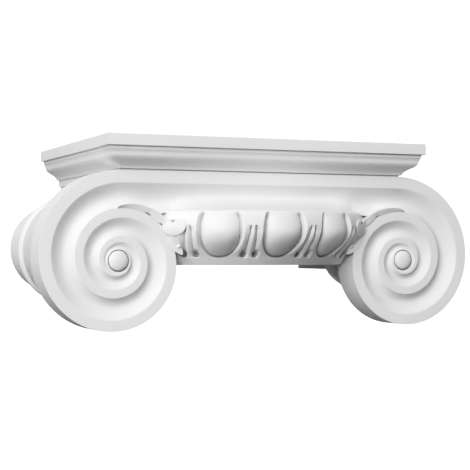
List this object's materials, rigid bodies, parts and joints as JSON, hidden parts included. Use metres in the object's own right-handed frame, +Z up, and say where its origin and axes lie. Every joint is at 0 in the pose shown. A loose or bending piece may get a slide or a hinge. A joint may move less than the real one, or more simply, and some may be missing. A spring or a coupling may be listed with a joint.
{
  "type": "ionic capital",
  "caption": "Ionic capital for a half column: moulded abacus, channelled front with spiral volutes, egg-and-dart echinus, bolsters and a flat back for the wall.",
  "frame": {"origin": "centre of the flat wall face at the back", "axes": "+X along the front, to the right seen from the front; +Y back into the wall; +Z up"},
  "size_m": [0.4652, 0.2798, 0.1879],
  "materials": {
    "primed_foam": "smooth satin white primer over rigid polyurethane"
  },
  "bodies": {
    "root": {"capital": "primed_foam"}
  },
  "joints": []
}
